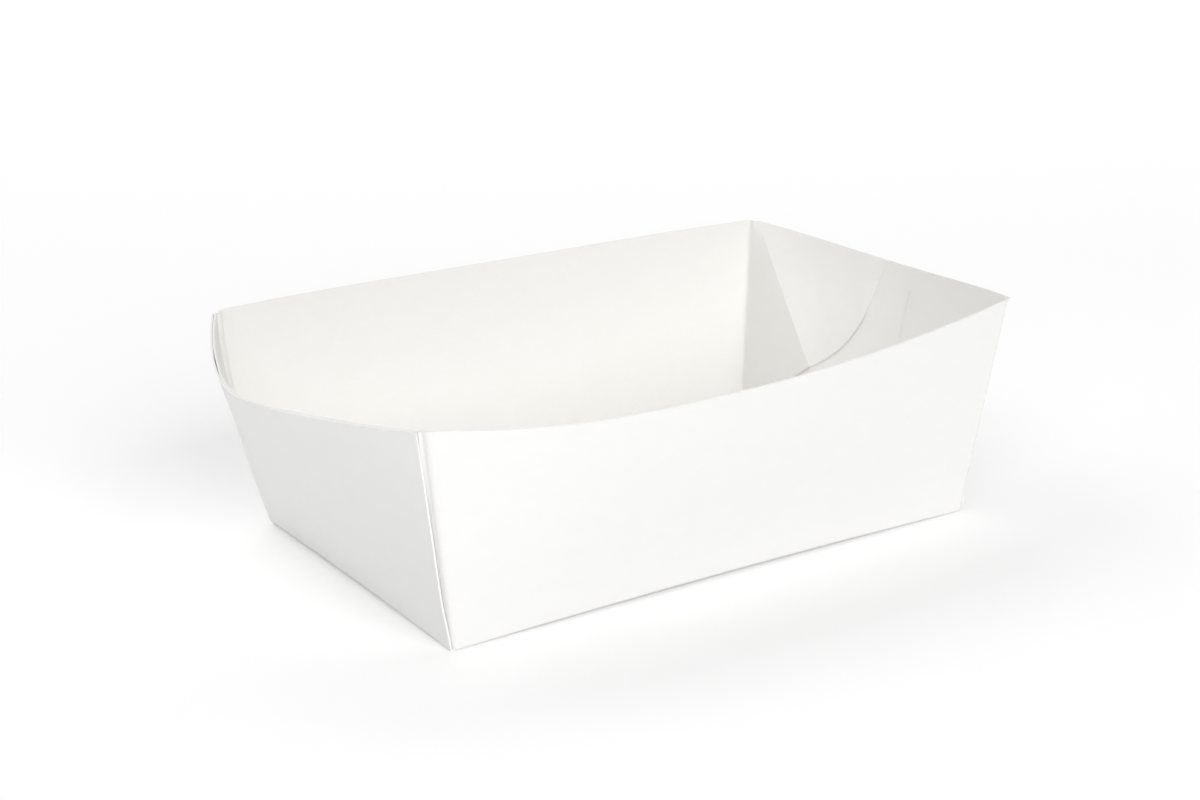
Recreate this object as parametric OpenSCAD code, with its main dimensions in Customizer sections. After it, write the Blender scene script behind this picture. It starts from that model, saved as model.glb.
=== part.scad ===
// Paper fry tray, folded from one blank of thin card and glued at its four corners.
//
// The two long walls turn round each corner as flaps. Each end panel folds up outside its
// two flaps and is the outermost layer there. Card springs open, so all four walls bow
// outwards at the rim and the rim dips between its corners.
//
// X runs along the tray, Y across it and Z up. The origin is the middle of the underside
// of the base, where the tray stands. Front is -Y, left is -X.

/* [Base] */
// Length of the base between the outsides of the end folds
base_l = 135; // [110:0.5:180]
// Width of the base between the outsides of the long folds
base_w = 86.5; // [76:0.5:110]
// How far a long fold lifts off the table at mid length
side_lift = 0.8; // [0:0.1:1.5]
// How far an end fold lifts off the table at mid width
end_lift = 0.5; // [0:0.1:1.5]
// Width of the strip along each fold in which the base rises to that lift
lift_strip = 12; // [8:0.5:20]

/* [Walls] */
// Height of the rim corners above the table
wall_h = 50.5; // [42:0.5:65]
// Overhang of a rim corner past the end fold
end_out = 7.3; // [4:0.1:14]
// Overhang of a rim corner past the long fold
side_out = 6.1; // [4:0.1:14]
// Depth of the curve that is cut into the rim of a long wall
side_dip = 0.2; // [0:0.1:5]
// Depth of the curve in the rim of the left end wall
left_dip = 1.9; // [0:0.1:5]
// Depth of the curve in the rim of the right end wall
right_dip = 1.2; // [0:0.1:5]
// How far one pair of opposite rim corners stands up and the other pair down
rim_twist = 0.7; // [0:0.1:1.5]

/* [Bow] */
// Outward bow of the front wall's rim where it is fullest
front_bow = 10.5; // [4:0.1:14]
// Where the front wall is fullest, from the middle towards the right
front_peak = -13; // [-20:0.5:20]
// Fullness of the front bow left of its peak: 1 is straight, 2 is round, 3 is boxy
front_left_full = 2.8; // [1.5:0.1:3]
// Fullness of the front bow right of its peak
front_right_full = 2.2; // [1.5:0.1:3]
// Outward bow of the back wall at the middle of its rim
back_bow = 9; // [4:0.1:14]
// Fullness of the back bow
back_full = 2; // [1.5:0.1:3]
// Outward bow of the left end wall's rim where it is fullest
left_bow = 14.7; // [8:0.1:20]
// Where the left end wall is fullest, from the middle towards the back
left_peak = 10.5; // [-20:0.5:20]
// Fullness of the left bow in front of its peak
left_front_full = 1.5; // [1.1:0.1:3]
// Fullness of the left bow behind its peak
left_back_full = 1.65; // [1.1:0.05:3]
// Outward bow of the right end wall at the middle of its rim
right_bow = 9.8; // [6:0.1:16]
// Fullness of the right bow
right_full = 2; // [1.5:0.1:3]

/* [Card] */
// Thickness of the card
card_t = 0.45; // [0.3:0.05:0.7]
// Inside radius of every fold
fold_r = 0.4; // [0.3:0.05:0.8]
// Space that the glue and the spring of the card leave between a flap and its end panel
lap_gap = 0.3; // [0.25:0.05:0.5]

/* [Flaps] */
// Space at the rim between the ends of the two flaps inside one end panel
flap_gap = 10; // [6:0.5:24]
// Rise of a flap's lower edge from the base corner, in degrees
flap_rise = 37; // [25:1:42]
// Lean of a flap's end edge, in degrees
flap_end_lean = 7; // [0:1:12]
// Length of edge taken up on each side by the round of a flap's tip
flap_tip = 12; // [6:0.5:14]
// Place on the rim, from the corner fold, where the flap's crease to its tip starts
crease_start = 1.2; // [0.8:0.1:3]
// How far an end panel's side edge stays back from the outside of the long wall
edge_back = 0.4; // [0:0.1:2]
// How far an end panel's top corner stands off the flap
tip_gap = 0.3; // [0.2:0.1:2]
// Width of the strip at the corner in which the end panel comes down onto the flap
loose_w = 26; // [15:1:35]

/* [Hidden] */

// Cells of the sheet, counted on each half of the base, round a fold and up a wall
half_cells_l = 8;
half_cells_w = 8;
fold_cells = 3;
side_cells = 8;
end_cells = 12;
crease_cells = 5;
// Cells get closer together towards the folds by this share
crowding = 0.25;

// Turn of a corner fold, in degrees
corner_turn = 90;
fold_out_r = fold_r + card_t;
side_lean = atan(side_out / wall_h);
end_lean = atan(end_out / wall_h);
side_slant = wall_h / cos(side_lean);
end_slant = wall_h / cos(end_lean);

// Length that each fold's round takes from the flat card beside it
side_round = fold_out_r * tan((90 - side_lean) / 2);
end_round = fold_out_r * tan((90 - end_lean) / 2);
corner_round = fold_out_r;

// Where the flat of the base ends, and the half widths at the base and at the rim corners
flat_x = base_l / 2 - end_round;
flat_y = base_w / 2 - side_round;
top_x = base_l / 2 + end_out;
top_y = base_w / 2 + side_out;
// The flaps lie this far inside the outer face of the end panel
flap_in = card_t + lap_gap;
flap_in_x = flap_in / cos(end_lean);
// Shares of the wall's height at which the straight part of a wall starts
side_v0 = side_round / side_slant;
end_v0 = end_round / end_slant;

// A flap's outline on the end wall, as [distance from the middle, height up the slope]
flap_foot = [base_w / 2 + side_out * side_v0 - corner_round, side_round];
flap_end_run = tan(flap_end_lean);
flap_rise_run = tan(flap_rise);
flap_corner_h = (flap_foot[1] + (flap_foot[0] - flap_gap / 2 - end_slant * flap_end_run) * flap_rise_run)
    / (1 - flap_end_run * flap_rise_run);
flap_corner = [flap_gap / 2 + (end_slant - flap_corner_h) * flap_end_run, flap_corner_h];
tip_start = flap_corner + flap_tip * [cos(flap_rise), -sin(flap_rise)];
tip_end = flap_corner + flap_tip * [-sin(flap_end_lean), cos(flap_end_lean)];

// Counts of the sheet's grid: the folds start and end at these columns and rows
base_i0 = end_cells + fold_cells;
base_i1 = base_i0 + 2 * half_cells_l;
last_i = base_i1 + fold_cells + end_cells;
base_j0 = side_cells + fold_cells;
base_j1 = base_j0 + 2 * half_cells_w;
last_j = base_j1 + fold_cells + side_cells;
layer_points = (last_i + 1) * (last_j + 1);

function clamp(x, low, high) = max(low, min(high, x));
function mix(a, b, k) = a + (b - a) * k;
function unit(v) = v / norm(v);
function total(list, k = 0) = k == len(list) - 1 ? list[k] : list[k] + total(list, k + 1);
// A share that is 0 at first, 1 at last, and eases in and out
function eased(k) = k * k * (3 - 2 * k);

// Place across the base from -1 to 1 of a grid line, with the lines closer near the folds
function crowded(t) = t * (1 + crowding * (1 - t * t));
function place_l(i) = crowded(clamp((i - base_i0) / half_cells_l - 1, -1, 1));
function place_w(j) = crowded(clamp((j - base_j0) / half_cells_w - 1, -1, 1));

// How many cells a column or a row lies outside the base, and on which side
function out_i(i) = max(base_i0 - i, i - base_i1, 0);
function out_j(j) = max(base_j0 - j, j - base_j1, 0);
function side_i(i) = i < base_i0 ? -1 : 1;
function side_j(j) = j < base_j0 ? -1 : 1;

// The lift of the base beside a long fold and beside an end fold
function side_rise(u) = side_lift * (1 - u * u);
function end_rise(w) = end_lift * (1 - w * w);
function strip(distance) = pow(clamp(1 - distance / lift_strip, 0, 1), 2);

// A bow's height from 0 at both ends of a rim, at -reach and reach, to 1 at its peak
function hump(s, reach, peak, low_full, high_full) =
    s < peak ? 1 - pow((peak - s) / (reach + peak), low_full)
             : 1 - pow((s - peak) / (reach - peak), high_full);
// The curve that is cut into a rim, from 0 at its corners to 1 in the middle
function dip(s, reach) = 1 - pow(s / reach, 2);

// Outward bow of a long wall's rim at the share u of its half length, and its height up the slope
function side_rim_bow(sy, u) =
    sy < 0 ? front_bow * hump(u * top_x, top_x, front_peak, front_left_full, front_right_full)
           : back_bow * hump(u * top_x, top_x, 0, back_full, back_full);
function side_rim(sy, u) = sqrt(pow(side_slant - side_dip * dip(u, 1), 2) - pow(side_rim_bow(sy, u), 2));

// The same for an end wall, at the distance s from its middle
function end_shape(sx, s) =
    sx < 0 ? hump(s, top_y, left_peak, left_front_full, left_back_full)
           : hump(s, top_y, 0, right_full, right_full);
function end_rim_bow(sx, s) = mix(tip_gap, sx < 0 ? left_bow : right_bow, end_shape(sx, s));
function end_rim(sx, s) =
    sqrt(pow(end_slant - (sx < 0 ? left_dip : right_dip) * dip(s, top_y), 2) - pow(end_rim_bow(sx, s), 2));
// How far the end panel's rim stands off the flap's, which is over within the loose strip
function off_flap(s) = tip_gap * eased(clamp((abs(s) - top_y + loose_w) / loose_w, 0, 1));

// A bowed end wall is made of straight lines that run down from its rim. rim_of is the rim's
// end of the line through the distance a and the share v of the height.
// On the right wall the lines fan out from the point where the two flaps' creases would meet,
// and outside the creases the wall is flat.
fan_v = (tip_start[1] * top_y - tip_start[0] * end_slant) / (top_y - tip_start[0]) / end_slant;
function right_rim_of(a, v) = v > fan_v ? a * (1 - fan_v) / (v - fan_v) : sign(a) * top_y;
// On the left wall those in front of the peak share out the base fold evenly, and those
// behind it fan out from the back base corner.
left_share = base_w / (left_peak + top_y);
function left_even(a, v) =
    (a - (1 - v) * (top_y * left_share - base_w / 2)) / ((1 - v) * left_share + v);
function left_rim_of(a, v) =
    left_even(a, v) < left_peak ? left_even(a, v) : base_w / 2 + (a - base_w / 2) / v;
function rim_of(sx, a, v) = clamp(sx < 0 ? left_rim_of(a, v) : right_rim_of(a, v), -top_y, top_y);
// How much of the rim's bow a line has at the share v of the height
function bow_share(sx, v) = sx < 0 ? v : max(0, (v - max(fan_v, 0)) / (1 - max(fan_v, 0)));
function end_bow_at(sx, a, v) = bow_share(sx, v) * end_rim_bow(sx, rim_of(sx, a, v));
function flap_bow_at(sx, a, v) =
    let (s = rim_of(sx, a, v))
    bow_share(sx, v) * (end_rim_bow(sx, s) - off_flap(s));

// A point of an end wall, the distance a from its middle, the share v up the wall and
// pushed out by bow from the plane through the outer face of its fold
function on_end(sx, a, v, bow) =
    let (rim_s = a * top_y / (base_w / 2 + side_out * v), h = v * end_rim(sx, rim_s))
    [sx * (base_l / 2 + h * sin(end_lean) + bow * cos(end_lean)), a, h * cos(end_lean) - bow * sin(end_lean)];

// Half the straight length of a long wall between its corner folds, and a point of its outer face
function side_half(v) = base_l / 2 - flap_in_x + end_out * v - corner_round;
function on_side(sy, u, v) =
    let (h = v * side_rim(sy, u), bow = v * side_rim_bow(sy, u))
    [u * side_half(v), sy * (base_w / 2 + h * sin(side_lean) + bow * cos(side_lean)),
     h * cos(side_lean) - bow * sin(side_lean) + side_rise(u) * (1 - v)];

// The outer face of the sheet on the base, round the folds, up the walls and along the flaps
function base_point(u, w) =
    let (x = u * flat_x, y = w * flat_y)
    [x, y, side_rise(u) * strip(flat_y - abs(y)) + end_rise(w) * strip(flat_x - abs(x))];

function side_fold_point(sy, u, k) =
    let (turn = (90 - side_lean) * k)
    [u * mix(flat_x, side_half(side_v0), k), sy * (flat_y + fold_out_r * sin(turn)),
     fold_out_r * (1 - cos(turn)) + side_rise(u)];

function end_fold_point(sx, w, k) =
    let (turn = (90 - end_lean) * k)
    [sx * (flat_x + fold_out_r * sin(turn)), w * mix(flat_y, end_half(end_v0), k),
     fold_out_r * (1 - cos(turn)) + end_rise(w)];

function end_half(v) = base_w / 2 + side_out * v - edge_back;
function end_point(sx, w, v) =
    on_end(sx, w * end_half(v), v, end_bow_at(sx, w * end_half(v), v)) + [0, 0, end_rise(w) * (1 - v)];

function corner_fold_point(sx, sy, k, v) =
    let (turn = corner_turn * k)
    [sx * (side_half(v) + corner_round * sin(turn)),
     sy * (base_w / 2 + side_out * v - corner_round * (1 - cos(turn))), v * wall_h];

// The flap's lower edge and its rim, as counted in cells from its crease towards its end
function flap_low(q) = mix(mix(tip_start, flap_corner, q), mix(flap_corner, tip_end, q), q);
function flap_top(q) = [mix(top_y - corner_round - crease_start, flap_gap / 2, q), end_slant];
function flap_fold(v) = [base_w / 2 + side_out * v - corner_round, v * end_slant];
// The place of cell k, counted from the corner fold, and of the share v up that fold
function flap_place(k, v) =
    let (r = (v - side_v0) / (1 - side_v0), q = max(k - crease_cells, 0) / (end_cells - crease_cells))
    mix(flap_fold(v), mix(flap_low(q), flap_top(q), r), min(k / crease_cells, 1));
function flap_on_end(sx, sy, p) =
    let (a = sy * p[0], v = p[1] / end_slant)
    on_end(sx, a, v, flap_bow_at(sx, a, v) - flap_in);
// Between its corner fold and its crease a right flap is flat, and a left one follows its panel
function flap_point(sx, sy, k, v) =
    k == 0 ? corner_fold_point(sx, sy, 1, v)
    : sx > 0 && k < crease_cells
        ? mix(corner_fold_point(sx, sy, 1, v), flap_on_end(sx, sy, flap_place(crease_cells, v)), k / crease_cells)
    : flap_on_end(sx, sy, flap_place(k, v));

function sheet_point(i, j) =
    let (ki = out_i(i), kj = out_j(j), sx = side_i(i), sy = side_j(j), u = place_l(i), w = place_w(j),
         v = mix(side_v0, 1, (kj - fold_cells) / side_cells))
    ki == 0 && kj == 0 ? base_point(u, w)
    : ki == 0 && kj < fold_cells ? side_fold_point(sy, u, kj / fold_cells)
    : ki == 0 ? on_side(sy, u, v)
    : kj == 0 && ki < fold_cells ? end_fold_point(sx, w, ki / fold_cells)
    : kj == 0 ? end_point(sx, w, mix(end_v0, 1, (ki - fold_cells) / end_cells))
    : kj < fold_cells ? [0, 0, 0]
    : ki < fold_cells ? corner_fold_point(sx, sy, ki / fold_cells, v)
    : flap_point(sx, sy, ki - fold_cells, v);

// The twist lifts two opposite rim corners and lowers the other two
function twisted(p) = p - [0, 0, rim_twist * p[0] * p[1] * p[2] / (top_x * top_y * wall_h)];

// The blank is a whole grid of cells but for four slots, which part each end panel's side
// edges from the flaps' lower edges
function is_card(i, j) =
    i >= 0 && j >= 0 && i < last_i && j < last_j
    && !(max(out_i(i), out_i(i + 1)) > 0 && max(out_j(j), out_j(j + 1)) > 0
         && max(out_j(j), out_j(j + 1)) <= fold_cells);

// The inner face lies one card thickness inside the outer face
function cell_normal(grid, i, j) =
    unit(cross(grid[i + 1][j + 1] - grid[i][j], grid[i][j + 1] - grid[i + 1][j]));
function inward(grid, i, j) =
    let (normals = [for (a = [i - 1, i], b = [j - 1, j]) if (is_card(a, b)) cell_normal(grid, a, b)])
    len(normals) == 0 ? [0, 0, 0]
    : let (sum = total(normals)) sum * len(normals) / (sum * sum);

function at(i, j, layer) = layer * layer_points + i * (last_j + 1) + j;
function split(a, b, c, d) = [[a, b, c], [a, c, d]];
// The card's cut edge along the cell edge from point [i0, j0] to [i1, j1]
function cut_edge(i0, j0, i1, j1) = split(at(i1, j1, 0), at(i0, j0, 0), at(i0, j0, 1), at(i1, j1, 1));

module tray() {
    outer = [for (i = [0:last_i]) [for (j = [0:last_j]) twisted(sheet_point(i, j))]];
    outer_points = [for (i = [0:last_i], j = [0:last_j]) outer[i][j]];
    inner_points = [for (i = [0:last_i], j = [0:last_j]) outer[i][j] + card_t * inward(outer, i, j)];
    cells = [for (i = [0:last_i - 1], j = [0:last_j - 1]) if (is_card(i, j)) [i, j]];
    outer_faces = [for (c = cells, f = split(at(c[0], c[1], 0), at(c[0] + 1, c[1], 0),
        at(c[0] + 1, c[1] + 1, 0), at(c[0], c[1] + 1, 0))) f];
    inner_faces = [for (c = cells, f = split(at(c[0], c[1], 1), at(c[0], c[1] + 1, 1),
        at(c[0] + 1, c[1] + 1, 1), at(c[0] + 1, c[1], 1))) f];
    cut_faces = [for (c = cells) each concat(
        is_card(c[0], c[1] - 1) ? [] : cut_edge(c[0], c[1], c[0] + 1, c[1]),
        is_card(c[0] + 1, c[1]) ? [] : cut_edge(c[0] + 1, c[1], c[0] + 1, c[1] + 1),
        is_card(c[0], c[1] + 1) ? [] : cut_edge(c[0] + 1, c[1] + 1, c[0], c[1] + 1),
        is_card(c[0] - 1, c[1]) ? [] : cut_edge(c[0], c[1] + 1, c[0], c[1]))];
    color("#f7f6f1")
        polyhedron(points = concat(outer_points, inner_points), faces = concat(outer_faces, inner_faces, cut_faces));
}

tray();
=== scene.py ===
# %% [markdown]
# # A paper fry tray, folded in Blender
#
# This lesson dresses a small food tray that was first built as a CAD part. The real tray is
# one piece of white board. A press cuts the blank and scores its folds, a machine folds it
# up, and glue holds a flap inside each corner. The lesson follows the same order: a flat net
# of small squares, slots cut into it, every point moved to its place on the folded tray, and
# then the thickness of the board. The finish comes after that, and the room it stands in.
#
# The imported CAD model is loaded first, as a fixed frame. Its box is kept, and the
# dressed tray is built to stay inside it.

# %% Load the frame
import math

import bmesh
import bpy
from mathutils import Matrix, Vector, noise


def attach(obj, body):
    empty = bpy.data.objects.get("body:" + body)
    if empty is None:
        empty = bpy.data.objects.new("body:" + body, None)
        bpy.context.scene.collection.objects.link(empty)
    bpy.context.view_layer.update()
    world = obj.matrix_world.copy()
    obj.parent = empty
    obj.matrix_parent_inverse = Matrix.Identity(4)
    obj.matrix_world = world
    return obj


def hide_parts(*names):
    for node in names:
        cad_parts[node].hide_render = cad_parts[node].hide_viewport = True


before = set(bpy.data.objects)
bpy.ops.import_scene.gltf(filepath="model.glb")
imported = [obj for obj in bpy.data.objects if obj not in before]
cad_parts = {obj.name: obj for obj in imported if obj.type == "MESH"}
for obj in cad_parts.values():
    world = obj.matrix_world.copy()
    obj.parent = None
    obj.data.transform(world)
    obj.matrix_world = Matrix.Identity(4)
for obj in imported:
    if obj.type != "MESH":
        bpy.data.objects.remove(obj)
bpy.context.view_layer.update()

# %% [markdown]
# ## Sizes
#
# A folded tray needs few sizes: the base, the walls' height, how far each wall leans out,
# and how far its rim bows when the board springs open. They are the same values as in the
# CAD part, in metres here. The origin is the middle of the base's underside, X runs along
# the tray, and the camera stands in front of it and to its left.

# %% Sizes of the folded tray
MM = 0.001
base_length, base_width = 135 * MM, 86.5 * MM
wall_height = 50.5 * MM
end_overhang, side_overhang = 7.3 * MM, 6.1 * MM
card = 0.45 * MM
fold_inside = 0.4 * MM
glue_gap, end_gap = 0.06 * MM, 0.03 * MM
edge_back, edge_back_more, edge_back_rise = 0.4 * MM, 1.3 * MM, 0.25
corner_open = 0.8 * MM
rim_twist = 0.64 * MM
side_lift, end_lift, lift_strip = 0.8 * MM, 0.5 * MM, 12 * MM

fold_outside = fold_inside + card
side_lean = math.atan(side_overhang / wall_height)
end_lean = math.atan(end_overhang / wall_height)
side_slant = wall_height / math.cos(side_lean)
end_slant = wall_height / math.cos(end_lean)
top_half_length = base_length / 2 + end_overhang
top_half_width = base_width / 2 + side_overhang
print("walls lean out by", round(math.degrees(side_lean), 1), "and", round(math.degrees(end_lean), 1), "degrees")

# %% [markdown]
# A fold in board isn't a sharp line. It is a small round, and it uses up some of the flat
# card on both sides. These values say where each flat part ends and its fold begins. The
# four corners are only pressed sharp at their feet: their round opens towards the rim, which
# shows in the photograph as a soft band of light beside each corner.

# %% Where the folds begin
side_round = fold_outside * math.tan((math.pi / 2 - side_lean) / 2)
end_round = fold_outside * math.tan((math.pi / 2 - end_lean) / 2)
flat_half_length = base_length / 2 - end_round
flat_half_width = base_width / 2 - side_round
flap_inset = card + glue_gap
side_start = side_round / side_slant
end_start = end_round / end_slant


def corner_round(up):
    """The outer radius of a corner fold, at a share of the wall's height."""
    return fold_outside + corner_open * up


print("the flat of the base is", round(2000 * flat_half_length, 1), "by", round(2000 * flat_half_width, 1), "mm")

# %% [markdown]
# ## How the walls bow
#
# Board that is folded wants to spring flat again. The glued corners hold it, so each wall
# swells outwards between its corners, most at the rim. A parabola would give a tidy bow. A
# real one is uneven, so each bow here has its own peak and its own fullness on both sides of
# it: 1 is a straight slope, 2 is round and 3 is boxy.


# %% The bow of each rim
def bow_shape(place, reach, peak, low_fullness, high_fullness):
    if place < peak:
        return 1 - ((peak - place) / (reach + peak)) ** low_fullness
    return 1 - ((place - peak) / (reach - peak)) ** high_fullness


front_bow, front_peak, front_left_fullness, front_right_fullness = 10.5 * MM, -13 * MM, 2.8, 2.2
back_bow, back_fullness = 9 * MM, 2
left_bow, left_peak, left_front_fullness, left_back_fullness = 14.6 * MM, 10.5 * MM, 1.5, 1.65
right_bow, right_fullness = 9.8 * MM, 2
tip_gap, tip_width = 0.16 * MM, 4 * MM
belly_gap, belly_place, belly_width = 0.16 * MM, 23 * MM, 8 * MM
loose_edge, loose_rows, loose_end = 0.2 * MM, 0.14, 0.2
side_dip, left_dip, right_dip = 0.2 * MM, 1.9 * MM, 1.2 * MM


def side_rim_bow(side, place):
    """Outward bow of a long wall's rim. side is -1 for the front and 1 for the back."""
    if side < 0:
        shape = bow_shape(place, top_half_length, front_peak, front_left_fullness, front_right_fullness)
        return front_bow * shape
    return back_bow * bow_shape(place, top_half_length, 0, back_fullness, back_fullness)


def end_rim_bow(end, place):
    """Outward bow of an end wall's rim. end is -1 for the left and 1 for the right."""
    if end < 0:
        shape = bow_shape(place, top_half_width, left_peak, left_front_fullness, left_back_fullness)
        return tip_gap + (left_bow - tip_gap) * shape
    return tip_gap + (right_bow - tip_gap) * bow_shape(place, top_half_width, 0, right_fullness, right_fullness)


print("the front rim bows out", round(1000 * side_rim_bow(-1, 0), 1), "mm at its middle")

# %% [markdown]
# A wall that bows out also sinks, because its height is measured along the card. The rim's
# height up the slope follows from the bow, together with the slight curve of the cut itself.


# %% The height of each rim
def curve_of_cut(place, reach):
    return 1 - (place / reach) ** 2


def side_rim_height(side, place):
    length = side_slant - side_dip * curve_of_cut(place, top_half_length)
    return math.sqrt(length ** 2 - side_rim_bow(side, place) ** 2)


def end_rim_height(end, place):
    length = end_slant - (left_dip if end < 0 else right_dip) * curve_of_cut(place, top_half_width)
    return math.sqrt(length ** 2 - end_rim_bow(end, place) ** 2)


print("the right rim's middle is", round(1000 * end_rim_height(1, 0), 1), "mm up the slope")

# %% [markdown]
# ## The flap's outline
#
# Each long wall goes on round the corner as a flap, which is glued inside the end panel. Its
# lower edge climbs from the base corner, a large round makes its tip, and its end runs
# up to the rim. The outline is drawn on the end wall: distance from the wall's middle, and
# height up the slope.

# %% The corners of a flap
flap_gap = 10 * MM
flap_rise, flap_end_lean = math.radians(37), math.radians(7)
flap_tip = 12 * MM
crease_start = 1.0 * MM

flap_foot = Vector((base_width / 2 + side_overhang * side_start - corner_round(side_start), side_round))
end_run, rise_run = math.tan(flap_end_lean), math.tan(flap_rise)
corner_height = (flap_foot.y + (flap_foot.x - flap_gap / 2 - end_slant * end_run) * rise_run) / (1 - end_run * rise_run)
flap_corner = Vector((flap_gap / 2 + (end_slant - corner_height) * end_run, corner_height))
tip_start = flap_corner + flap_tip * Vector((math.cos(flap_rise), -math.sin(flap_rise)))
tip_end = flap_corner + flap_tip * Vector((-math.sin(flap_end_lean), math.cos(flap_end_lean)))
print("the tip's round starts", [round(1000 * x, 1) for x in tip_start], "mm from the middle of the base fold")


# %% [markdown]
# ## Straight lines in a bowed wall
#
# Card bends but doesn't stretch, so every bowed wall is made of straight lines. On the right
# wall they fan out from the point where the creases of its two flaps would meet, and what
# lies outside the creases is flat. On the left wall, those in front of the peak share out
# the base fold, and those behind it fan out from the back corner. Knowing which rim point a
# line ends at gives the bow of every point below it.


# %% From a point of an end wall to its line's end on the rim
def clamp(x, low, high):
    return max(low, min(high, x))


fan_share = (tip_start.y * top_half_width - tip_start.x * end_slant) / (top_half_width - tip_start.x) / end_slant
left_share = base_width / (left_peak + top_half_width)


def rim_place(end, across, up):
    """across is the distance from the wall's middle, up the share of its height."""
    if end > 0:
        if up <= fan_share:
            return math.copysign(top_half_width, across)
        place = across * (1 - fan_share) / (up - fan_share)
    else:
        even_start = top_half_width * left_share - base_width / 2
        place = (across - (1 - up) * even_start) / ((1 - up) * left_share + up)
        if place >= left_peak:
            place = base_width / 2 + (across - base_width / 2) / up
    return clamp(place, -top_half_width, top_half_width)


def bow_share(end, up):
    return up if end < 0 else clamp((up - fan_share) / (1 - fan_share), 0, 1)


def panel_bow(end, across, up):
    return bow_share(end, up) * end_rim_bow(end, rim_place(end, across, up))


def soft_step(k):
    k = clamp(k, 0, 1)
    return k * k * (3 - 2 * k)


def flap_bow(end, across, up):
    """The panel stands off its flap at the rim's corner, and again a little further along."""
    place = rim_place(end, across, up)
    from_corner = top_half_width - abs(place)
    tip = tip_gap * soft_step(1 - from_corner / tip_width)
    belly = belly_gap * soft_step(1 - abs(from_corner - belly_place) / belly_width)
    return bow_share(end, up) * (end_rim_bow(end, place) - tip - belly)


def slant_of(end, across, up):
    """How much longer it is straight across a wall than square through it, where it is bowed."""
    step = 0.5 * MM
    run = (flap_bow(end, across + step, up) - flap_bow(end, across - step, up)) / (2 * step)
    return math.hypot(1, run, end_rim_bow(end, rim_place(end, across, up)) / end_slant)


print("the right wall's flat corners reach up to", round(100 * fan_share), "% of its height at the middle")


# %% [markdown]
# ## Folding
#
# Now each part of the blank gets its place in space. The base lies flat, except that its
# edges lift a little between the corners. The folds are rounds, and the walls stand up from
# them. Each function takes a share along the blank and gives a point on the card's outer face.


# %% Places on the walls
def mix(a, b, k):
    return a + (b - a) * k


def on_end(end, across, up, bow):
    height = up * end_rim_height(end, across * top_half_width / (base_width / 2 + side_overhang * up))
    out = base_length / 2 + height * math.sin(end_lean) + bow * math.cos(end_lean)
    return Vector((end * out, across, height * math.cos(end_lean) - bow * math.sin(end_lean)))


def side_lift_at(u):
    return side_lift * (1 - u * u)


def end_lift_at(w):
    return end_lift * (1 - w * w)


def side_half(up):
    """Half the straight length of a long wall between its corner folds."""
    return base_length / 2 - flap_inset / math.cos(end_lean) + end_overhang * up - corner_round(up)


def on_side(side, u, up):
    place = u * top_half_length
    height, bow = up * side_rim_height(side, place), up * side_rim_bow(side, place)
    out = base_width / 2 + height * math.sin(side_lean) + bow * math.cos(side_lean)
    z = height * math.cos(side_lean) - bow * math.sin(side_lean) + side_lift_at(u) * (1 - up)
    return Vector((u * side_half(up), side * out, z))


def end_half(up):
    """Half the width of an end panel, which stops short of the long wall's outside."""
    short = edge_back + edge_back_more * soft_step(up / edge_back_rise)
    return base_width / 2 + side_overhang * up - short


def on_panel(end, w, up):
    across = w * end_half(up)
    return on_end(end, across, up, panel_bow(end, across, up)) + Vector((0, 0, end_lift_at(w) * (1 - up)))


print("the front rim's middle is at", [round(1000 * x, 1) for x in on_side(-1, 0, 1)], "mm")


# %% Places on the base and round the folds
def on_base(u, w):
    x, y = u * flat_half_length, w * flat_half_width
    side_strip = clamp(1 - (flat_half_width - abs(y)) / lift_strip, 0, 1) ** 2
    end_strip = clamp(1 - (flat_half_length - abs(x)) / lift_strip, 0, 1) ** 2
    return Vector((x, y, side_lift_at(u) * side_strip + end_lift_at(w) * end_strip))


def on_side_fold(side, u, k):
    turn = (math.pi / 2 - side_lean) * k
    x = u * mix(flat_half_length, side_half(side_start), k)
    z = fold_outside * (1 - math.cos(turn)) + side_lift_at(u)
    return Vector((x, side * (flat_half_width + fold_outside * math.sin(turn)), z))


def on_end_fold(end, w, k):
    turn = (math.pi / 2 - end_lean) * k
    y = w * mix(flat_half_width, end_half(end_start), k)
    z = fold_outside * (1 - math.cos(turn)) + end_lift_at(w)
    return Vector((end * (flat_half_length + fold_outside * math.sin(turn)), y, z))


def on_corner_fold(end, side, k, up):
    turn = math.pi / 2 * k
    radius = corner_round(up)
    x = side_half(up) + radius * math.sin(turn)
    y = base_width / 2 + side_overhang * up - radius * (1 - math.cos(turn))
    return Vector((end * x, side * y, up * wall_height))


print("a base corner is at", [round(1000 * x, 1) for x in on_base(-1, -1)], "mm")

# %% [markdown]
# The flap is the one part whose edge isn't square. Its rows run from the corner fold to its
# end, and its columns are stretched from the outline's lower edge up to the rim. Near the
# corner the right flaps are flat, up to a crease that runs from the rim's corner to the
# start of the tip. That flat triangle shows dark in the photograph.


# %% Places on a flap
def flap_outline(k, crease, up):
    """k and crease are shares of the flap's length: the place, and where its crease is."""
    row = (up - side_start) / (1 - side_start)
    q = max(k - crease, 0) / (1 - crease)
    low = mix(mix(tip_start, flap_corner, q), mix(flap_corner, tip_end, q), q)
    top = Vector((mix(top_half_width - corner_round(1) - crease_start, flap_gap / 2, q), end_slant))
    fold = Vector((base_width / 2 + side_overhang * up - corner_round(up), up * end_slant))
    return mix(fold, mix(low, top, row), min(k / crease, 1))


def loose_share(k, crease, up):
    """The glue stops short of the flap's lower edge, which lifts a little until its tip."""
    row = (up - side_start) / (1 - side_start)
    q = (k - crease) / (1 - crease)
    return soft_step(1 - row / loose_rows) * soft_step((1 - q) / loose_end) * soft_step(k / crease)


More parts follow.
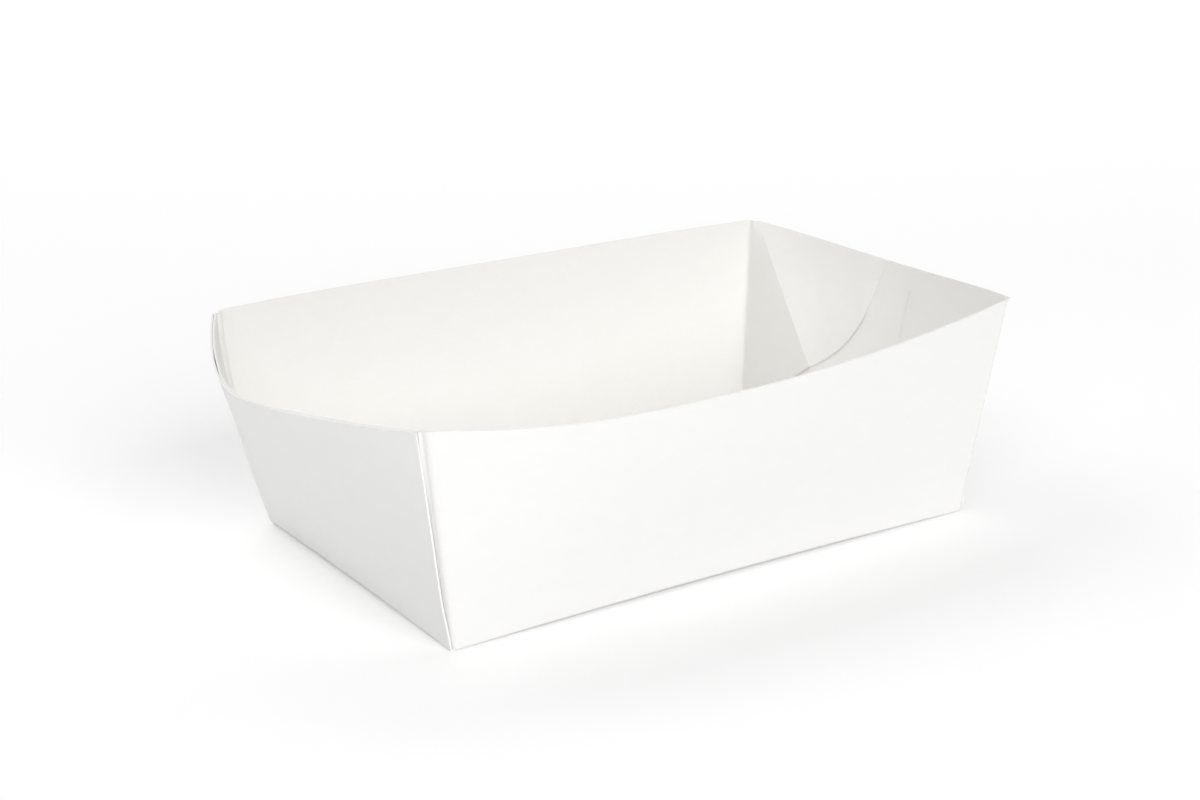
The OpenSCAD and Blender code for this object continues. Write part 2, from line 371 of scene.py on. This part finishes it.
def on_flap(end, side, k, crease, up):
    if k == 0:
        return on_corner_fold(end, side, 1, up)
    if end > 0 and k < crease:
        return mix(on_corner_fold(end, side, 1, up), on_flap(end, side, crease, crease, up), k / crease)
    place = flap_outline(k, crease, up)
    across, height = side * place.x, place.y / end_slant
    closer = (glue_gap - end_gap) * soft_step((k - crease) / (1 - crease))
    inset = (flap_inset - closer) * mix(1, slant_of(end, across, height), soft_step(8 * k))
    lift = loose_edge * loose_share(k, crease, up)
    w = clamp(across / end_half(height), -1, 1)
    raised = Vector((0, 0, end_lift_at(w) * (1 - height)))
    return on_end(end, across, height, flap_bow(end, across, height) - inset - lift) + raised


print("a flap's end meets the rim", round(1000 * flap_outline(1, 0.4, 1).x, 1), "mm from the middle")

# %% [markdown]
# ## The blank
#
# The blank starts as one flat grid. Its squares are counted out: so many along the base, a
# few round each fold, and more up each wall, about one square for every 1.7 mm of card. Then
# four slots are cut, which part the end panels from the flaps, exactly where the press
# cuts them.

# %% Count out the squares
base_cells_long, base_cells_wide = 80, 52
fold_cells, side_cells, end_cells, crease_cells = 6, 30, 36, 16
wing_long, wing_wide = end_cells + fold_cells, side_cells + fold_cells
columns, rows = base_cells_long + 2 * wing_long, base_cells_wide + 2 * wing_wide

blank = bmesh.new()
bmesh.ops.create_grid(blank, x_segments=columns, y_segments=rows, size=1)
blank.transform(Matrix.Diagonal((columns / 2, rows / 2, 1, 1)))
sheet_place = blank.verts.layers.float_vector.new("sheet")
scored = blank.verts.layers.float.new("scored")
cut_edge = blank.verts.layers.float.new("cut_edge")
side_of_card = blank.faces.layers.float.new("card_side")
print("blank:", len(blank.faces), "squares,", columns, "by", rows)


# %% Cut the four slots
def beyond(x, half):
    """How many cells a place on the grid lies outside the base, and on which side."""
    return max(abs(x) - half, 0), -1 if x < 0 else 1


def in_slot(face):
    middle = face.calc_center_median()
    end_out = beyond(middle.x, base_cells_long / 2)[0]
    side_out = beyond(middle.y, base_cells_wide / 2)[0]
    return end_out > 0 and 0 < side_out < fold_cells


slots = [face for face in blank.faces if in_slot(face)]
bmesh.ops.delete(blank, geom=slots, context="FACES")
print("cut", len(slots), "squares out,", len(blank.faces), "left")


# %% [markdown]
# One corner needs a touch of its own. In the photograph the far left corner isn't a straight
# line: the strong spring of that end has pushed it out by about two millimetres between the
# base and the rim. A smooth push along X does it, which fades out a few millimetres from the
# corner, so the flap, the panel and the long wall all move together.

# %% The far left corner
corner_push_rim, corner_push_middle, corner_push_shape, corner_push_reach = 0.35 * MM, 10.5 * MM, 1.8, 7 * MM


def corner_push(point):
    share = clamp(point.z / wall_height, 0, 1)
    depth = corner_push_rim * share + corner_push_middle * share ** corner_push_shape * (1 - share)
    from_side = point.y - base_width / 2 - side_overhang * share
    from_end = max(point.x + base_length / 2 + end_overhang * share, 0)
    return Vector((-depth * math.exp(-(from_side ** 2 + from_end ** 2) / corner_push_reach ** 2), 0, 0))


halfway_up = Vector((-base_length / 2 - end_overhang / 2, base_width / 2 + side_overhang / 2, wall_height / 2))
print("halfway up, the corner is pushed out by", round(1000 * corner_push(halfway_up).length, 2), "mm")


# %% Fold it
def folded(x, y):
    """The place in space of the grid's point x, y, on the card's outer face."""
    end_out, end = beyond(x, base_cells_long / 2)
    side_out, side = beyond(y, base_cells_wide / 2)
    u, w = clamp(2 * x / base_cells_long, -1, 1), clamp(2 * y / base_cells_wide, -1, 1)
    up_side = mix(side_start, 1, (side_out - fold_cells) / side_cells)
    up_end = mix(end_start, 1, (end_out - fold_cells) / end_cells)
    if side_out == 0:
        if end_out == 0:
            return on_base(u, w)
        return on_end_fold(end, w, end_out / fold_cells) if end_out < fold_cells else on_panel(end, w, up_end)
    if end_out == 0:
        return on_side_fold(side, u, side_out / fold_cells) if side_out < fold_cells else on_side(side, u, up_side)
    if end_out < fold_cells:
        return on_corner_fold(end, side, end_out / fold_cells, up_side)
    return on_flap(end, side, (end_out - fold_cells) / end_cells, crease_cells / end_cells, up_side)


crease_column = base_cells_long / 2 + fold_cells + crease_cells
grid_place = {vert: (round(vert.co.x, 3), round(vert.co.y, 3)) for vert in blank.verts}
for vert, (x, y) in grid_place.items():
    vert.co = folded(x, y)
    vert.co += corner_push(vert.co)
    vert.co.z -= rim_twist * vert.co.x * vert.co.y * vert.co.z / (top_half_length * top_half_width * wall_height)
on_crease = {v for v, (x, y) in grid_place.items() if x == crease_column and abs(y) >= base_cells_wide / 2 + fold_cells}
for edge in blank.edges:
    edge.smooth = not (edge.verts[0] in on_crease and edge.verts[1] in on_crease)
print("folded:", len(on_crease), "points lie on the two right creases")

# %% [markdown]
# The board has a grain, and its grain was there before it was folded. So every point also
# keeps its place on the flat sheet, in metres, and the finish reads its patterns from that:
# they follow the card round each fold. Two more values say where the card is worked hardest,
# at the folds and at its cut edges.


# %% Keep the flat sheet
def flat_distance(place, half, cell, fold_cell, wall_cell):
    out, side = beyond(place, half)
    round_part = min(out, fold_cells)
    return side * (min(abs(place), half) * cell + round_part * fold_cell + (out - round_part) * wall_cell)


def is_fold(x, y):
    end_out, side_out = beyond(x, base_cells_long / 2)[0], beyond(y, base_cells_wide / 2)[0]
    across_end = abs(x) >= base_cells_long / 2 and end_out <= fold_cells
    across_side = abs(y) >= base_cells_wide / 2 and side_out <= fold_cells and end_out == 0
    return across_end or across_side


round_cell = fold_outside * math.pi / 2 / fold_cells
for vert, (x, y) in grid_place.items():
    along = flat_distance(x, base_cells_long / 2, base_length / base_cells_long, round_cell, end_slant / end_cells)
    across = flat_distance(y, base_cells_wide / 2, base_width / base_cells_wide, round_cell, side_slant / side_cells)
    vert[sheet_place] = (along, across, 0)
    vert[scored] = 1.0 if is_fold(x, y) else 0.6 if vert in on_crease else 0.0
    vert[cut_edge] = 1.0 if vert.is_boundary else 0.0
print("the flat sheet is", round(2000 * max(v[sheet_place].x for v in blank.verts)), "mm long")

# %% [markdown]
# No board is perfectly flat. Damp and handling leave long, faint waves in it, a few
# hundredths of a millimetre deep, and they only show in the way that light runs along a
# wall. The waves come from smooth noise in space, so a flap and the panel outside it wave
# together. They only go inwards, so the tray stays in its box, and they fade out towards
# the base, which rests on the table.

# %% Faint waves in the walls
wave_length, wave_depth, wave_fade = 24 * MM, 0.1 * MM, 12 * MM
wave_middle = 0.7
ripple_length, ripple_depth = 9 * MM, 0.012 * MM
bmesh.ops.recalc_face_normals(blank, faces=blank.faces)
blank.normal_update()
moves = {}
for vert in blank.verts:
    wave = wave_depth * (noise.noise(vert.co / wave_length) - wave_middle)
    wave += ripple_depth * noise.noise(vert.co / ripple_length)
    moves[vert] = wave * soft_step(vert.co.z / wave_fade)
for vert, move in moves.items():
    outward = Vector((vert.co.x / top_half_length, vert.co.y / top_half_width, 0))
    vert.co += vert.normal * (move if vert.normal.dot(outward) > 0 else -move)
print("the deepest wave is", round(1000 * max(abs(move) for move in moves.values()), 3), "mm")

# %% [markdown]
# ## Thickness
#
# The folded net is the card's outer face. Solidify gives it the thickness of the board, as
# the real sheet has it: a back to every face and a cut edge all round. It pushes a copy of
# the face to the side away from the normals, so they have to point outwards first.

# %% Give the card its thickness
blank.normal_update()
base_face = min(blank.faces, key=lambda f: f.calc_center_median().length)
if base_face.normal.z > 0:
    bmesh.ops.reverse_faces(blank, faces=blank.faces)
outer_faces = set(blank.faces)
made = bmesh.ops.solidify(blank, geom=blank.faces[:], thickness=card)["geom"]
inner_faces = {g for g in made if isinstance(g, bmesh.types.BMFace)}
for face in blank.faces:
    face.smooth = True
    face[side_of_card] = 0.0 if face in outer_faces else 1.0 if face in inner_faces else 0.5
for vert in {v for face in inner_faces for v in face.verts}:
    vert[sheet_place] = (*vert[sheet_place].xy, card)
print("outer", len(outer_faces), "inner", len(inner_faces), "all", len(blank.faces))

# %% [markdown]
# On the inside of a real tray the flaps' ends hardly show. The gluing press squeezes them
# into the soft panel behind, so their free edges end much thinner than the board. The same
# is done here: near a flap's free edge, each inner point moves towards its outer partner,
# which has the same place on the flat sheet.


# %% Press the flaps' free edges
def sheet_key(vert):
    return round(vert[sheet_place].x, 6), round(vert[sheet_place].y, 6)


pressed_share, pressed_cells = 0.03, 4
inner_at = {sheet_key(vert): vert for face in inner_faces for vert in face.verts}
thin_points = set()
for vert, (x, y) in grid_place.items():
    end_out, side_out = beyond(x, base_cells_long / 2)[0], beyond(y, base_cells_wide / 2)[0]
    from_edge = min(wing_long - end_out, side_out - fold_cells)
    if end_out <= fold_cells or from_edge < 0 or from_edge >= pressed_cells:
        continue
    partner = inner_at[sheet_key(vert)]
    partner.co = mix(vert.co, partner.co, mix(pressed_share, 1, soft_step(from_edge / pressed_cells)))
    thin_points |= {vert, partner}
print("pressed", len(thin_points) // 2, "points")

# %% [markdown]
# The press's knife leaves an edge that is square, but not razor sharp. A bevel of a few
# hundredths of a millimetre on both sides of the cut is enough to catch the light, and to
# draw the thin bright line that the rim shows in the photograph.

# %% Soften the cut edges
cut_round = 0.07 * MM
cut_lines = [edge for edge in blank.edges if len({face[side_of_card] for face in edge.link_faces}) > 1
             and not thin_points.issuperset(edge.verts)]
bmesh.ops.bevel(blank, geom=cut_lines, offset=cut_round, offset_type="OFFSET", affect="EDGES",
                segments=2, profile=0.5, material=-1, clamp_overlap=True)
for face in blank.faces:
    face.smooth = True
print("softened", len(cut_lines), "edges, now", len(blank.faces), "faces")
corners = [v.co for v in blank.verts]
print("box", [[round(1000 * f(c[i] for c in corners), 2) for i in range(3)] for f in (min, max)])
print("the longest edge is", round(1000 * max(edge.calc_length() for edge in blank.edges), 2), "mm")

# %% [markdown]
# The shading needs one more thing. Every face is smooth, so a large flat square next to a
# thin cut edge would shade as if it turned towards that edge, and the flaps' ends would show
# as lines that the real tray doesn't have. The Weighted Normal modifier lets the larger face
# decide, so flat card stays flat up to its edge and only the small rounds turn.

# %% Make the mesh
mesh = bpy.data.meshes.new("tray_card")
blank.to_mesh(mesh)
blank.free()
tray = bpy.data.objects.new("tray_card", mesh)
bpy.context.scene.collection.objects.link(tray)
even_normals = tray.modifiers.new("even_normals", "WEIGHTED_NORMAL")
even_normals.mode = "FACE_AREA"
even_normals.keep_sharp = True
print(len(mesh.polygons), "faces")

# %% [markdown]
# ## A way to write finishes
#
# A finish is a small program made of nodes. Wiring nodes by hand hides the sums they do, so
# a class holds a socket and lets Python's own operators add the Math nodes, and one method
# adds every other kind of node.


# %% Sums on sockets
class Wire:
    """A socket of a finish. Operators on it add Math nodes and give the new socket."""

    def __init__(self, finish, socket):
        self.finish, self.socket = finish, socket

    def maths(self, operation, *values):
        return self.finish.node("ShaderNodeMath", {"operation": operation}, dict(enumerate(values)))

    def __add__(self, other):
        return self.maths("ADD", self, other)

    def __sub__(self, other):
        return self.maths("SUBTRACT", self, other)

    def __rsub__(self, other):
        return self.maths("SUBTRACT", other, self)

    def __mul__(self, other):
        return self.maths("MULTIPLY", self, other)

    __radd__, __rmul__ = __add__, __mul__


class Finish:
    """A material in the making, and the one way to add nodes to it."""

    def __init__(self, name):
        self.material = bpy.data.materials.new(name)
        self.material.use_nodes = True
        self.tree = self.material.node_tree
        self.shader = self.tree.nodes["Principled BSDF"]

    def node(self, kind, settings=None, sockets=None, out=0):
        made = self.tree.nodes.new(kind)
        for name, value in (settings or {}).items():
            setattr(made, name, value)
        for key, value in (sockets or {}).items():
            self.feed(made.inputs[key], value)
        return Wire(self, made.outputs[out])

    def feed(self, socket, value):
        if isinstance(value, Wire):
            self.tree.links.new(value.socket, socket)
        else:
            socket.default_value = value

    def attribute(self, name, out="Fac"):
        return self.node("ShaderNodeAttribute", {"attribute_name": name}, out=out)

    def step(self, value, low, high):
        """0 below low, 1 above high, and smooth between them."""
        return self.node("ShaderNodeMapRange", {"interpolation_type": "SMOOTHSTEP"},
                         {"Value": value, "From Min": low, "From Max": high})

    def blend(self, first, second, share):
        """Colours go through a Mix node, because a Math node would turn them grey."""
        return self.node("ShaderNodeMix", {"data_type": "RGBA"}, {0: share, 6: first, 7: second}, out=2)

    def grain(self, place, size, turn=0.0, detail=2.0, twist=0.0):
        """Cloudy noise from 0 to 1. size is the length, width and depth of one cloud."""
        laid = self.node("ShaderNodeMapping", {"vector_type": "TEXTURE"},
                         {"Vector": place, "Rotation": (0, 0, turn), "Scale": size})
        return self.node("ShaderNodeTexNoise", {"noise_dimensions": "3D"},
                         {"Vector": laid, "Scale": 1.0, "Detail": detail, "Distortion": twist})


print("a finish is ready to be written")

# %% [markdown]
# ## White board
#
# The real board is made in layers. The outside has a thin coat of white clay: smooth,
# neutral, with a soft sheen. The inside is bare pulp, a little creamier and quite matt, and
# the fibres show if one looks closely. Where the knife went through, the raw fibre shows as
# fine lines along the edge. One material covers all three, because it is one sheet, and the
# face attribute says which side of the card a face is on.

# %% The three sides of the card
white_board = Finish("white_board")
sheet = white_board.attribute("sheet", out="Vector")
side_value = white_board.attribute("card_side")
inside = white_board.step(side_value, 0.7, 0.8)
outside = 1 - white_board.step(side_value, 0.2, 0.3)
raw_cut = (1 - inside) * (1 - outside)
print("masks: outside, inside and cut edge")

# %% [markdown]
# Pulp settles unevenly on the paper machine, which gives soft clouds a few millimetres
# wide. The fibres themselves are one or two millimetres long and lie mostly along the
# machine, with others across them. Two stretched noises, turned against each other, give
# both, and a fine even one gives the tooth of the surface.

# %% Clouds, fibres and tooth
clouds = white_board.grain(sheet, (5 * MM, 4 * MM, 1 * MM), detail=3.0)
along_fibres = white_board.grain(sheet, (1.6 * MM, 0.16 * MM, 0.08 * MM), turn=0.15, twist=0.7)
across_fibres = white_board.grain(sheet, (0.18 * MM, 1.3 * MM, 0.08 * MM), turn=0.5, twist=0.8)
fibres = white_board.step(along_fibres, 0.45, 0.72) + white_board.step(across_fibres, 0.5, 0.75)
tooth = white_board.grain(sheet, (0.12 * MM, 0.12 * MM, 0.12 * MM), detail=3.0)
plies = white_board.grain(sheet, (1.2 * MM, 1.2 * MM, 0.05 * MM), detail=3.0, twist=0.4)
print("patterns on the flat sheet: clouds, fibres, tooth and plies")

# %% [markdown]
# Wear starts where the card was worked. Along a fold the clay coat is burnished and cracks
# into tiny flakes, and along a cut edge it is bruised for a few tenths of a millimetre. Both
# values fall off over one square of the mesh, and the noise breaks up where they end.

# %% Wear along folds and edges
flakes = white_board.grain(sheet, (0.5 * MM, 0.35 * MM, 1 * MM), detail=4.0, twist=0.5)
fold_wear = white_board.step(white_board.attribute("scored") + 0.5 * flakes, 0.95, 1.45)
edge_wear = white_board.step(white_board.attribute("cut_edge") + 0.35 * flakes, 0.95, 1.25)
worn = white_board.node("ShaderNodeMath", {"operation": "MAXIMUM"}, {0: fold_wear, 1: edge_wear})
print("wear: folds and cut edges")

# %% Colour
coat_light, coat_dark, coat_worn = (0.861, 0.859, 0.850, 1), (0.838, 0.835, 0.825, 1), (0.832, 0.825, 0.807, 1)
pulp_light, pulp_dark, pulp_fibre = (0.884, 0.877, 0.853, 1), (0.858, 0.849, 0.821, 1), (0.898, 0.893, 0.874, 1)
cut_light, cut_dark = (0.885, 0.880, 0.862, 1), (0.835, 0.826, 0.802, 1)
coat = white_board.blend(white_board.blend(coat_light, coat_dark, clouds), coat_worn, worn * 0.6)
pulp = white_board.blend(white_board.blend(pulp_light, pulp_dark, clouds), pulp_fibre, fibres * 0.5)
cut = white_board.blend(cut_light, cut_dark, white_board.step(plies, 0.45, 0.65))
colour = white_board.blend(white_board.blend(coat, pulp, inside), cut, raw_cut)
white_board.feed(white_board.shader.inputs["Base Color"], colour)
print("the outside is neutral white, the inside is cream")

# %% Sheen and relief
coat_roughness, pulp_roughness, cut_roughness = 0.5, 0.82, 0.95
roughness = outside * (coat_roughness + clouds * 0.08 + worn * 0.2) + inside * (pulp_roughness + tooth * 0.1)
white_board.feed(white_board.shader.inputs["Roughness"], roughness + raw_cut * cut_roughness)

coat_relief = clouds * (0.012 * MM) + tooth * (0.0016 * MM) + fibres * (0.0014 * MM) - worn * flakes * (0.010 * MM)
pulp_relief = clouds * (0.013 * MM) + fibres * (0.005 * MM) + tooth * (0.004 * MM)
cut_relief = plies * (0.03 * MM)
relief = outside * coat_relief + inside * pulp_relief + raw_cut * cut_relief
bumped = white_board.node("ShaderNodeBump", None, {"Height": relief, "Distance": 1.0, "Strength": 1.0})
white_board.feed(white_board.shader.inputs["Normal"], bumped)
print("the board finish has", len(white_board.tree.nodes), "nodes")

# %% Dress the tray
mesh.materials.append(white_board.material)
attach(tray, "root")
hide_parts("tray")
print("the tray replaces its CAD node")

# %% [markdown]
# ## Floor, light and camera

# %% Floor
floor_half, table_glow = 8.0, 0.08
stage = bmesh.new()
bmesh.ops.create_grid(stage, x_segments=1, y_segments=1, size=floor_half)
floor_mesh = bpy.data.meshes.new("floor")
stage.to_mesh(floor_mesh)
stage.free()
floor = bpy.data.objects.new("floor", floor_mesh)
bpy.context.scene.collection.objects.link(floor)
sweep = Finish("white_sweep")
sweep_place = sweep.node("ShaderNodeTexCoord", out="Object")
sweep_clouds = sweep.grain(sweep_place, (0.4, 0.4, 0.4))
sweep.feed(sweep.shader.inputs["Base Color"], (0.95, 0.95, 0.95, 1))
sweep.feed(sweep.shader.inputs["Roughness"], 0.75 + sweep_clouds * 0.15)
sweep.feed(sweep.shader.inputs["Emission Color"], (1, 1, 1, 1))
sweep.feed(sweep.shader.inputs["Emission Strength"], table_glow)
floor_mesh.materials.append(sweep.material)


# %% Lights
def softbox(name, place, target, size, power):
    light = bpy.data.lights.new(name, "AREA")
    light.shape = "RECTANGLE"
    light.size, light.size_y = size
    light.energy = power
    lamp = bpy.data.objects.new(name, light)
    lamp.location = place
    lamp.rotation_euler = (Vector(target) - Vector(place)).to_track_quat("-Z", "Y").to_euler()
    bpy.context.scene.collection.objects.link(lamp)
    return lamp


for name, azimuth, elevation, distance, size, power in (
    ("key", 0, 30, 3.4, 1.9, 59),
    ("left_fill", -40, 35, 1.7, 1.1, 8.2),
    ("right_fill", 90, 35, 1.2, 0.8, 1.3),
    ("back", 180, 50, 2.5, 2.0, 18.5),
    ("back_left", -130, 40, 2.5, 2.0, 15),
    ("back_right", 130, 40, 2.5, 2.0, 10.6),
):
    turn, rise = math.radians(azimuth), math.radians(elevation)
    away = Vector((math.sin(turn) * math.cos(rise), -math.cos(turn) * math.cos(rise), math.sin(rise)))
    softbox(name, away * distance, (0, 0, 0.03), (size, size), power)
softbox("backdrop", (0.3, 0.5, 0.8), (1.0, 1.6, 0.2), (0.6, 0.6), 1.2)
world = bpy.data.worlds.new("room")
world.use_nodes = True
world.node_tree.nodes["Background"].inputs["Color"].default_value = (1, 1, 1, 1)
world.node_tree.nodes["Background"].inputs["Strength"].default_value = 0.135
bpy.context.scene.world = world
bpy.context.scene.view_settings.view_transform = "Standard"

# %% Camera
azimuth, elevation, roll = math.radians(-32.1524), math.radians(18.5264), math.radians(-1.1516)
camera_place = Vector((-0.25927, -0.40634, 0.19016))
back = Vector((math.sin(azimuth) * math.cos(elevation), -math.cos(azimuth) * math.cos(elevation), math.sin(elevation)))
level_right = (-back).cross(Vector((0, 0, 1))).normalized()
level_up = back.cross(level_right)
right = level_right * math.cos(roll) + level_up * math.sin(roll)
up = level_up * math.cos(roll) - level_right * math.sin(roll)
camera_data = bpy.data.cameras.new("camera")
camera_data.sensor_width = 36
camera_data.lens = 66.99
camera_data.clip_start = 0.02
camera_data.clip_end = 30
camera = bpy.data.objects.new("camera", camera_data)
camera.matrix_world = Matrix.Translation(camera_place) @ Matrix((right, up, back)).transposed().to_4x4()
bpy.context.scene.collection.objects.link(camera)
bpy.context.scene.camera = camera
